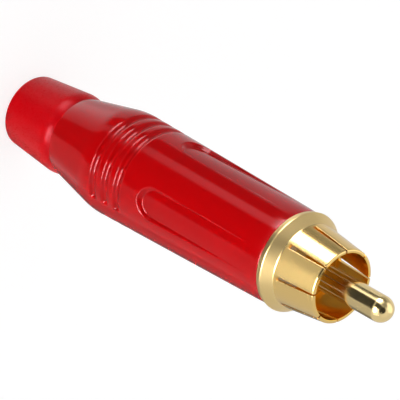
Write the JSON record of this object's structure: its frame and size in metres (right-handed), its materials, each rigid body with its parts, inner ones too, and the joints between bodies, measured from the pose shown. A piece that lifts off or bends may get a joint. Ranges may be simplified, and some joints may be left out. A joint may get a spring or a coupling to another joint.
{
  "type": "rca plug",
  "caption": "Phono cable plug with a painted cast handle, a soft bend relief, a screw-in contact body with a slotted spring ring and a round centre pin.",
  "frame": {"origin": "centre of the bend relief's rear face, on the plug's axis", "axes": "+Z along the plug's axis from the cable end to the centre pin; -Y through the middle of one plain face of the handle, between two side panels"},
  "size_m": [0.0132, 0.0132, 0.0627],
  "materials": {
    "boot_rubber": "satin red soft plastic",
    "handle_paint": "glossy red paint on a zinc casting",
    "clamp_plastic": "moulded, matte",
    "sleeve_plastic": "thin extruded tube, matte",
    "gold_body": "turned brass, gold plated",
    "insulator_plastic": "turned white plastic",
    "gold_pin": "turned brass, gold plated and polished",
    "gold_lug": "stamped brass, gold plated"
  },
  "bodies": {
    "handle": {"shell": "handle_paint", "boot": "boot_rubber"},
    "clamp": {"chuck": "clamp_plastic", "insulating_sleeve": "sleeve_plastic"},
    "contact": {"outer_contact": "gold_body", "pin_insulator": "insulator_plastic", "centre_pin": "gold_pin", "ground_lug": "gold_lug"}
  },
  "joints": [
    {"name": "clamp_slide", "type": "slide", "parent": "handle", "child": "clamp", "axis": [0, 0, 1], "range_m": [0, 0.0045]},
    {"name": "contact_turn", "type": "hinge", "parent": "clamp", "child": "contact", "pos_m": [0, 0, 0], "axis": [0, 0, 1], "range_deg": [0, 2161]}
  ],
  "couplings": [
    {"joint": "contact_turn", "follows": "clamp_slide", "rad_per_m": 8377.6}
  ]
}
